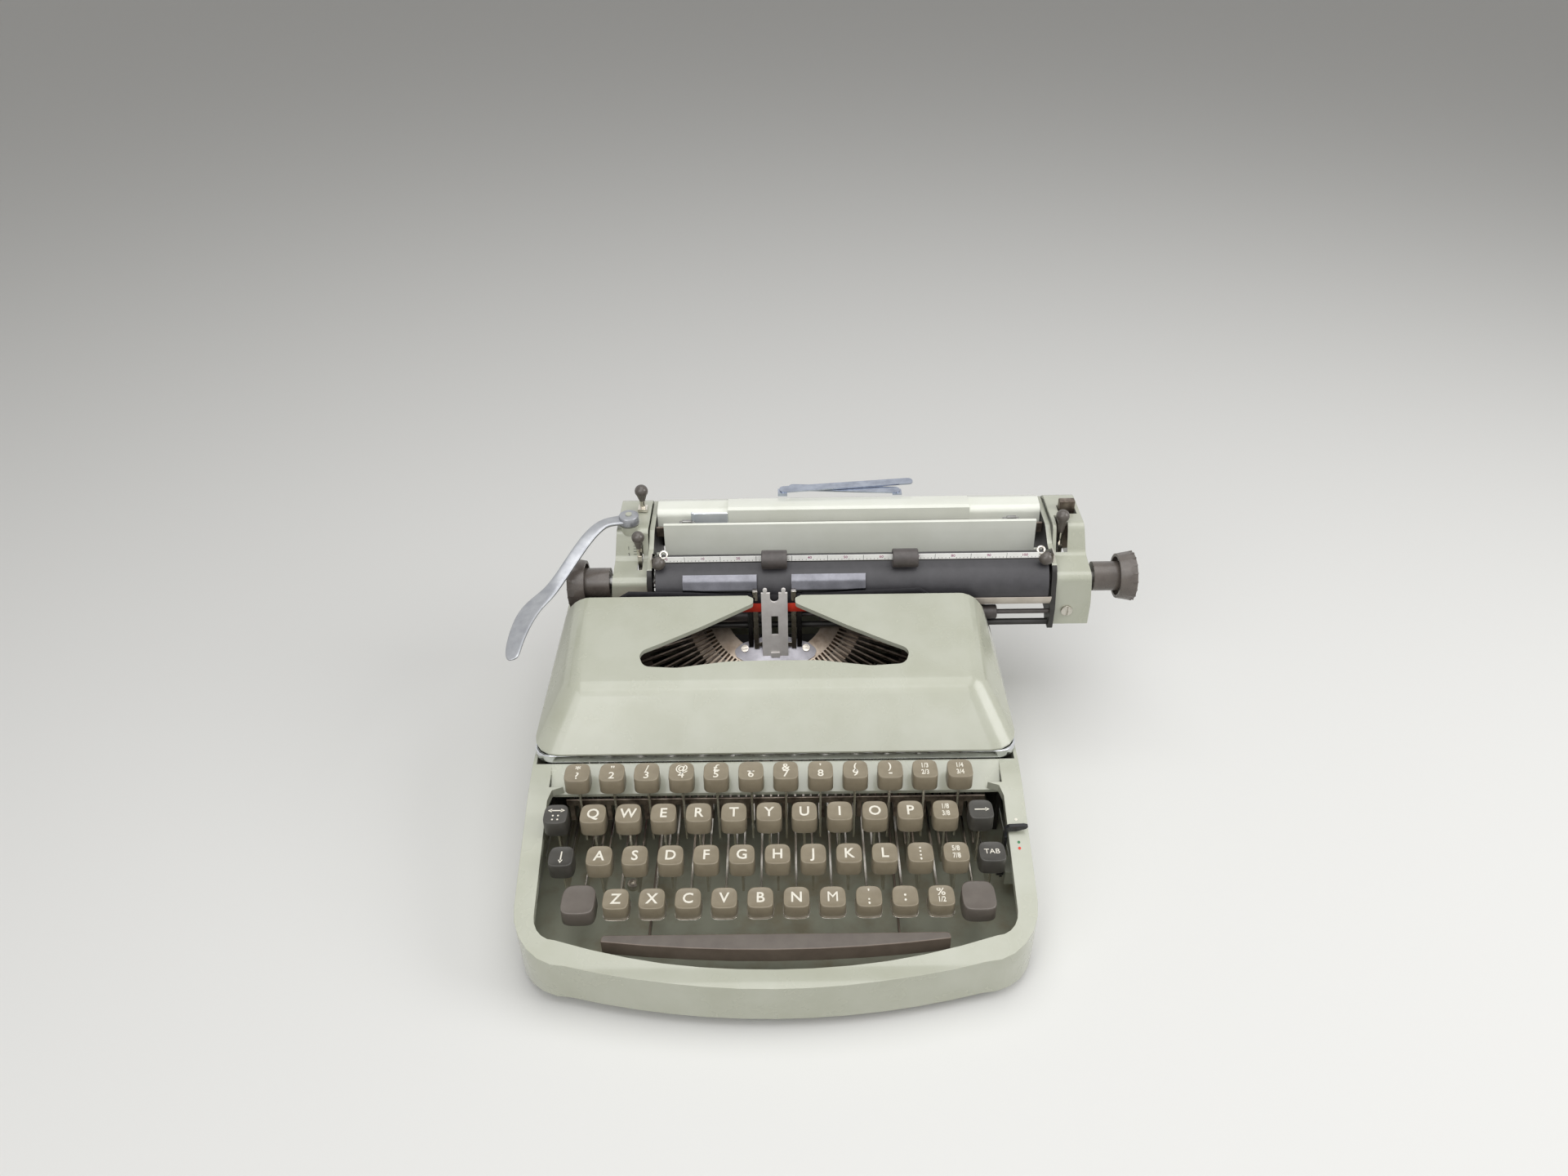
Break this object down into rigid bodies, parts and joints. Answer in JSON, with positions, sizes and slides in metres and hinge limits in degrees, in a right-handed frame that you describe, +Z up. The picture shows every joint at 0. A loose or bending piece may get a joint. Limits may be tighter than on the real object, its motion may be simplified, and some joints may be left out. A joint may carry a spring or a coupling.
{
  "type": "portable typewriter",
  "caption": "Portable typewriter with a moving carriage, turning platen, pressing keys, a swinging return lever and an enamelled housing on rubber feet.",
  "frame": {"origin": "middle of the four rubber feet, on the surface that they stand on", "axes": "+X to the right of the person typing, +Y away from them, +Z up"},
  "size_m": [0.3743, 0.3087, 0.1594],
  "materials": {
    "enamel": "gloss enamel",
    "black_steel": "satin black paint",
    "rubber": "matte",
    "steel": "satin",
    "nickel": "worn nickel plate",
    "chrome": "polished",
    "ribbon": "inked woven ribbon",
    "spool": "gloss",
    "black_plastic": "gloss",
    "key_plastic": "satin moulded",
    "brown_plastic": "satin moulded",
    "slate_plastic": "satin moulded",
    "grey_steel": "satin",
    "platen": "matte",
    "knob_plastic": "slightly clear moulded",
    "scale_metal": "white enamel",
    "roller_rubber": "matte",
    "satin_metal": "satin"
  },
  "bodies": {
    "root_frame": {"base_housing": "enamel", "bottom_plate": "black_steel", "rubber_feet": "rubber", "chassis_frame": "black_steel", "key_pivot_rod": "steel", "type_segment": "nickel", "typebars": "nickel", "type_rest": "black_steel", "type_guide": "nickel", "guide_screws": "nickel", "card_holders": "chrome", "spool_cups": "black_steel", "ribbon": "ribbon", "carriage_rail": "steel", "rear_panel": "enamel", "margin_bell": "nickel", "chrome_trim": "chrome"},
    "carriage": {"carriage_frame": "black_steel", "left_end_cover": "enamel", "right_end_cover": "enamel", "end_cover_screws": "nickel", "paper_table": "enamel", "carriage_back_cover": "enamel", "paper_pan": "steel", "margin_rail": "steel"},
    "platen": {"platen_rubber": "platen", "platen_shaft": "steel", "platen_knob_left": "knob_plastic", "platen_knob_right": "knob_plastic", "line_ratchet": "steel"},
    "ribbon_spool_left_body": {"ribbon_spool_left": "spool"},
    "ribbon_spool_right_body": {"ribbon_spool_right": "spool"},
    "ribbon_vibrator_body": {"ribbon_vibrator": "nickel"},
    "ribbon_color_lever_body": {"ribbon_color_lever": "black_plastic"},
    "mainspring_drum_body": {"mainspring_drum": "steel"},
    "escapement_wheel_body": {"escapement_wheel": "steel"},
    "ribbon_cover_body": {"ribbon_cover": "enamel"},
    "number_row_keys_body": {"number_row_keys": "key_plastic"},
    "q_row_keys_body": {"q_row_keys": "key_plastic"},
    "a_row_keys_body": {"a_row_keys": "key_plastic"},
    "z_row_keys_body": {"z_row_keys": "key_plastic"},
    "key_h_body": {"key_h": "key_plastic"},
    "typebar_h_body": {"typebar_h": "nickel"},
    "shift_keys_body": {"shift_keys": "brown_plastic"},
    "shift_lock_key_body": {"shift_lock_key": "slate_plastic"},
    "margin_release_key_body": {"margin_release_key": "slate_plastic"},
    "backspace_key_body": {"backspace_key": "slate_plastic"},
    "tab_key_body": {"tab_key": "slate_plastic"},
    "space_bar_body": {"space_bar": "brown_plastic"},
    "margin_stop_left_body": {"margin_stop_left": "steel"},
    "margin_stop_right_body": {"margin_stop_right": "steel"},
    "line_space_lever_body": {"line_space_lever": "black_plastic"},
    "carriage_release_left_body": {"carriage_release_left": "black_plastic"},
    "carriage_release_right_body": {"carriage_release_right": "black_plastic"},
    "paper_release_lever_body": {"paper_release_lever": "grey_steel"},
    "paper_bail_body": {"paper_bail": "scale_metal"},
    "bail_rollers_body": {"bail_rollers": "roller_rubber"},
    "feed_rollers_body": {"feed_rollers": "roller_rubber"},
    "return_lever_body": {"return_lever": "satin_metal"},
    "paper_supports_body": {"paper_supports": "chrome"}
  },
  "joints": [
    {"name": "number_row_press", "type": "hinge", "parent": "root_frame", "child": "number_row_keys_body", "pos_m": [0, 0.095, 0.031], "axis": [1, 0, 0], "range_deg": [0, 4], "stiffness_Nm_per_rad": 0.6, "springref_deg": -11.46},
    {"name": "q_row_press", "type": "hinge", "parent": "root_frame", "child": "q_row_keys_body", "pos_m": [0, 0.095, 0.031], "axis": [1, 0, 0], "range_deg": [0, 4], "stiffness_Nm_per_rad": 0.6, "springref_deg": -11.46},
    {"name": "a_row_press", "type": "hinge", "parent": "root_frame", "child": "a_row_keys_body", "pos_m": [0, 0.095, 0.031], "axis": [1, 0, 0], "range_deg": [0, 3.6], "stiffness_Nm_per_rad": 0.6, "springref_deg": -11.46},
    {"name": "z_row_press", "type": "hinge", "parent": "root_frame", "child": "z_row_keys_body", "pos_m": [0, 0.095, 0.031], "axis": [1, 0, 0], "range_deg": [0, 3.2], "stiffness_Nm_per_rad": 0.6, "springref_deg": -11.46},
    {"name": "key_h_press", "type": "hinge", "parent": "root_frame", "child": "key_h_body", "pos_m": [0, 0.095, 0.031], "axis": [1, 0, 0], "range_deg": [0, 3.6], "stiffness_Nm_per_rad": 0.6, "springref_deg": -11.46},
    {"name": "typebar_h_strike", "type": "hinge", "parent": "root_frame", "child": "typebar_h_body", "pos_m": [0, 0.0514, 0.05934], "axis": [-1, 0, 0], "range_deg": [0, 116]},
    {"name": "shift_press", "type": "hinge", "parent": "root_frame", "child": "shift_keys_body", "pos_m": [0, 0.095, 0.031], "axis": [1, 0, 0], "range_deg": [0, 3.4], "stiffness_Nm_per_rad": 0.6, "springref_deg": -11.46},
    {"name": "shift_lock_press", "type": "hinge", "parent": "root_frame", "child": "shift_lock_key_body", "pos_m": [0, 0.095, 0.031], "axis": [1, 0, 0], "range_deg": [0, 3.2], "stiffness_Nm_per_rad": 0.6, "springref_deg": -11.46},
    {"name": "margin_release_press", "type": "hinge", "parent": "root_frame", "child": "margin_release_key_body", "pos_m": [0, 0.095, 0.031], "axis": [1, 0, 0], "range_deg": [0, 2.2], "stiffness_Nm_per_rad": 0.6, "springref_deg": -11.46},
    {"name": "backspace_press", "type": "hinge", "parent": "root_frame", "child": "backspace_key_body", "pos_m": [0, 0.095, 0.031], "axis": [1, 0, 0], "range_deg": [0, 4], "stiffness_Nm_per_rad": 0.6, "springref_deg": -11.46},
    {"name": "tab_press", "type": "hinge", "parent": "root_frame", "child": "tab_key_body", "pos_m": [0, 0.095, 0.031], "axis": [1, 0, 0], "range_deg": [0, 3.6], "stiffness_Nm_per_rad": 0.6, "springref_deg": -11.46},
    {"name": "space_bar_press", "type": "hinge", "parent": "root_frame", "child": "space_bar_body", "pos_m": [0, 0.095, 0.031], "axis": [1, 0, 0], "range_deg": [0, 1.7], "stiffness_Nm_per_rad": 0.6, "springref_deg": -11.46},
    {"name": "carriage_travel", "type": "slide", "parent": "root_frame", "child": "carriage", "axis": [1, 0, 0], "range_m": [-0.155, 0.06]},
    {"name": "platen_turn", "type": "hinge", "parent": "carriage", "child": "platen", "pos_m": [0.0475, 0.084, 0.1135], "axis": [1, 0, 0], "continuous": true},
    {"name": "bail_lift", "type": "hinge", "parent": "carriage", "child": "paper_bail_body", "pos_m": [0.0475, 0.1, 0.118], "axis": [-1, 0, 0], "range_deg": [0, 40]},
    {"name": "bail_rollers_turn", "type": "hinge", "parent": "paper_bail_body", "child": "bail_rollers_body", "pos_m": [0.0475, 0.0759, 0.1346], "axis": [1, 0, 0], "continuous": true},
    {"name": "feed_rollers_turn", "type": "hinge", "parent": "carriage", "child": "feed_rollers_body", "pos_m": [0.0475, 0.072, 0.096], "axis": [1, 0, 0], "continuous": true},
    {"name": "return_lever_swing", "type": "hinge", "parent": "carriage", "child": "return_lever_body", "pos_m": [-0.0898, 0.105, 0.145], "axis": [0, 0, 1], "range_deg": [0, 28], "stiffness_Nm_per_rad": 0.05, "springref_deg": -17.19},
    {"name": "line_space_set", "type": "hinge", "parent": "carriage", "child": "line_space_lever_body", "pos_m": [-0.0775, 0.092, 0.1145], "axis": [1, 0, 0], "range_deg": [-3, 4]},
    {"name": "carriage_release_left_pull", "type": "hinge", "parent": "carriage", "child": "carriage_release_left_body", "pos_m": [-0.0833, 0.124, 0.1423], "axis": [1, 0, 0], "range_deg": [0, 10], "stiffness_Nm_per_rad": 0.02, "springref_deg": -17.19},
    {"name": "carriage_release_right_pull", "type": "hinge", "parent": "carriage", "child": "carriage_release_right_body", "pos_m": [0.179, 0.103, 0.113], "axis": [1, 0, 0], "range_deg": [0, 8], "stiffness_Nm_per_rad": 0.02, "springref_deg": -17.19},
    {"name": "paper_release_pull", "type": "hinge", "parent": "carriage", "child": "paper_release_lever_body", "pos_m": [0.1878, 0.1201, 0.113], "axis": [1, 0, 0], "range_deg": [0, 7]},
    {"name": "margin_stop_left_set", "type": "slide", "parent": "carriage", "child": "margin_stop_left_body", "axis": [1, 0, 0], "range_m": [-0.012, 0.1]},
    {"name": "margin_stop_right_set", "type": "slide", "parent": "carriage", "child": "margin_stop_right_body", "axis": [1, 0, 0], "range_m": [-0.1, 0.012]},
    {"name": "paper_supports_raise", "type": "hinge", "parent": "carriage", "child": "paper_supports_body", "pos_m": [0.0475, 0.139, 0.1418], "axis": [1, 0, 0], "range_deg": [0, 60]},
    {"name": "ribbon_spool_left_turn", "type": "hinge", "parent": "root_frame", "child": "ribbon_spool_left_body", "pos_m": [-0.102, 0.022, 0.09], "axis": [0, 0, 1], "continuous": true},
    {"name": "ribbon_spool_right_turn", "type": "hinge", "parent": "root_frame", "child": "ribbon_spool_right_body", "pos_m": [0.102, 0.022, 0.09], "axis": [0, 0, 1], "continuous": true},
    {"name": "ribbon_vibrator_lift", "type": "slide", "parent": "root_frame", "child": "ribbon_vibrator_body", "axis": [0, 0, 1], "range_m": [0, 0.005]},
    {"name": "ribbon_color_set", "type": "hinge", "parent": "root_frame", "child": "ribbon_color_lever_body", "pos_m": [0.124, -0.0685, 0.027], "axis": [1, 0, 0], "range_deg": [-3, 7]},
    {"name": "mainspring_drum_turn", "type": "hinge", "parent": "root_frame", "child": "mainspring_drum_body", "pos_m": [-0.098, 0.117, 0.052], "axis": [0, 0, 1], "range_deg": [-720, 720]},
    {"name": "escapement_turn", "type": "hinge", "parent": "root_frame", "child": "escapement_wheel_body", "pos_m": [0.008, 0.116, 0.0745], "axis": [0, 1, 0], "range_deg": [-1080, 1080]},
    {"name": "ribbon_cover_tip", "type": "hinge", "parent": "root_frame", "child": "ribbon_cover_body", "pos_m": [0, -0.031, 0.076], "axis": [1, 0, 0], "range_deg": [0, 20]}
  ],
  "couplings": [
    {"joint": "bail_rollers_turn", "follows": "platen_turn", "ratio": -2.8448},
    {"joint": "feed_rollers_turn", "follows": "platen_turn", "ratio": -3.75},
    {"joint": "typebar_h_strike", "follows": "key_h_press", "ratio": 31.667},
    {"joint": "mainspring_drum_turn", "follows": "carriage_travel", "rad_per_m": 62.5},
    {"joint": "escapement_turn", "follows": "carriage_travel", "rad_per_m": 94.34},
    {"joint": "ribbon_spool_right_turn", "follows": "ribbon_spool_left_turn", "ratio": 1}
  ]
}
